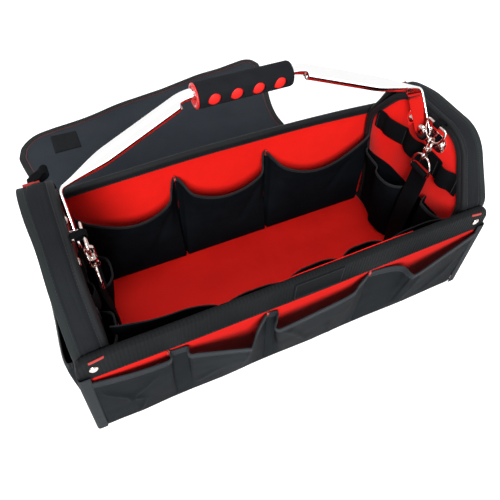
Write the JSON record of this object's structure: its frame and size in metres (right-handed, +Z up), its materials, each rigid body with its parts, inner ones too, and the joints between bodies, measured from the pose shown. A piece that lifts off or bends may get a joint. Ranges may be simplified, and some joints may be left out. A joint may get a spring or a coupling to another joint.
{
  "type": "tool bag",
  "caption": "Open-top soft tool bag with gabled padded ends, patch pockets inside and out, elastic tool loops, a swinging tube handle with a foam grip, and rings with snap hooks.",
  "frame": {"origin": "centre of the underside of the base, where the bag stands", "axes": "+X along the bag's length to its right end, +Y towards its back, +Z up"},
  "size_m": [0.5153, 0.6385, 0.2892],
  "materials": {
    "red_fabric": "bright red woven polyester, matt",
    "webbing": "black ribbed binding webbing",
    "elastic": "black woven elastic, fine ribs",
    "dark_fabric": "charcoal blue woven polyester",
    "black_fabric": "black coated woven polyester, slightly glossy",
    "base_fabric": "black coated woven polyester over a stiff board",
    "label": "plain bare woven patch",
    "foam": "dense black foam rubber, matt",
    "red_plastic": "red moulded plastic",
    "bright_metal": "bright chrome plate"
  },
  "bodies": {
    "bag": {"back_band": "webbing", "back_panel": "red_fabric", "back_pocket_1": "black_fabric", "back_pocket_2": "black_fabric", "back_pocket_3": "black_fabric", "base_panel": "base_fabric", "corner_rivet_left": "bright_metal", "corner_rivet_right": "bright_metal", "end_binding_left": "black_fabric", "end_binding_right": "black_fabric", "end_lining_left": "red_fabric", "end_lining_right": "red_fabric", "end_panel_left": "black_fabric", "end_panel_right": "black_fabric", "end_pocket_back_left": "black_fabric", "end_pocket_back_right": "black_fabric", "end_pocket_front_left": "black_fabric", "end_pocket_front_right": "black_fabric", "end_rim_left": "webbing", "end_rim_right": "webbing", "floor_board": "red_fabric", "front_band": "webbing", "front_inner_pockets": "black_fabric", "front_panel": "red_fabric", "front_pocket_1": "black_fabric", "front_pocket_2": "black_fabric", "front_pocket_3": "black_fabric", "front_pocket_4": "black_fabric", "handle_plate_left": "bright_metal", "handle_plate_right": "bright_metal", "hang_strap_left": "webbing", "hang_strap_right": "webbing", "label_patch": "label", "outer_pocket_left": "black_fabric", "outer_pocket_right": "black_fabric", "pivot_rivet_left": "bright_metal", "pivot_rivet_right": "bright_metal", "ring_loop_left": "webbing", "ring_loop_right": "webbing", "rivet_back_left": "bright_metal", "rivet_back_right": "bright_metal", "rivet_front_left": "bright_metal", "rivet_front_right": "bright_metal", "tool_loops_left": "elastic", "tool_loops_right": "elastic"},
    "handle": {"handle_tube": "bright_metal", "grip_foam": "foam", "grip_sleeve": "red_plastic"},
    "flap": {"cover_flap": "dark_fabric", "fastener_patch": "webbing"},
    "upper_ring_left": {"upper_ring_left": "bright_metal"},
    "hook_left": {"hook_body_left": "bright_metal"},
    "gate_left": {"hook_gate_left": "bright_metal"},
    "eye_left": {"swivel_eye_left": "bright_metal"},
    "lower_ring_left": {"lower_ring_left": "bright_metal"},
    "upper_ring_right": {"upper_ring_right": "bright_metal"},
    "hook_right": {"hook_body_right": "bright_metal"},
    "gate_right": {"hook_gate_right": "bright_metal"},
    "eye_right": {"swivel_eye_right": "bright_metal"},
    "lower_ring_right": {"lower_ring_right": "bright_metal"}
  },
  "joints": [
    {"name": "handle_swing", "type": "hinge", "parent": "bag", "child": "handle", "pos_m": [0, 0, 0.206], "axis": [1, 0, 0], "range_deg": [-45, 43]},
    {"name": "flap_lift", "type": "hinge", "parent": "bag", "child": "flap", "pos_m": [0, 0.10365, 0.00125], "axis": [1, 0, 0], "range_deg": [0, 75]},
    {"name": "upper_ring_swing_left", "type": "hinge", "parent": "bag", "child": "upper_ring_left", "pos_m": [-0.193, -0.023, 0.2305], "axis": [0, 1, 0], "range_deg": [-5, 5]},
    {"name": "hook_swing_left", "type": "hinge", "parent": "upper_ring_left", "child": "hook_left", "pos_m": [-0.193, -0.023, 0.209], "axis": [0, 1, 0], "range_deg": [-5, 5]},
    {"name": "gate_open_left", "type": "hinge", "parent": "hook_left", "child": "gate_left", "pos_m": [-0.18925, -0.023, 0.1976], "axis": [0, -1, 0], "range_deg": [0, 20], "stiffness_Nm_per_rad": 0.01, "springref_deg": -11.46},
    {"name": "eye_swivel_left", "type": "hinge", "parent": "hook_left", "child": "eye_left", "pos_m": [-0.193, -0.023, 0.1925], "axis": [0, 0, 1], "range_deg": [-15, 15]},
    {"name": "lower_ring_swing_left", "type": "hinge", "parent": "bag", "child": "lower_ring_left", "pos_m": [-0.193, -0.023, 0.1643], "axis": [0, 1, 0], "range_deg": [-5, 5]},
    {"name": "upper_ring_swing_right", "type": "hinge", "parent": "bag", "child": "upper_ring_right", "pos_m": [0.193, -0.023, 0.2305], "axis": [0, 1, 0], "range_deg": [-5, 5]},
    {"name": "hook_swing_right", "type": "hinge", "parent": "upper_ring_right", "child": "hook_right", "pos_m": [0.193, -0.023, 0.209], "axis": [0, 1, 0], "range_deg": [-5, 5]},
    {"name": "gate_open_right", "type": "hinge", "parent": "hook_right", "child": "gate_right", "pos_m": [0.18925, -0.023, 0.1976], "axis": [0, 1, 0], "range_deg": [0, 20], "stiffness_Nm_per_rad": 0.01, "springref_deg": -11.46},
    {"name": "eye_swivel_right", "type": "hinge", "parent": "hook_right", "child": "eye_right", "pos_m": [0.193, -0.023, 0.1925], "axis": [0, 0, 1], "range_deg": [-15, 15]},
    {"name": "lower_ring_swing_right", "type": "hinge", "parent": "bag", "child": "lower_ring_right", "pos_m": [0.193, -0.023, 0.1643], "axis": [0, 1, 0], "range_deg": [-5, 5]}
  ],
  "couplings": [
    {"joint": "hook_swing_left", "follows": "upper_ring_swing_left", "ratio": -1},
    {"joint": "lower_ring_swing_left", "follows": "upper_ring_swing_left", "ratio": -1},
    {"joint": "hook_swing_right", "follows": "upper_ring_swing_right", "ratio": -1},
    {"joint": "lower_ring_swing_right", "follows": "upper_ring_swing_right", "ratio": -1}
  ]
}
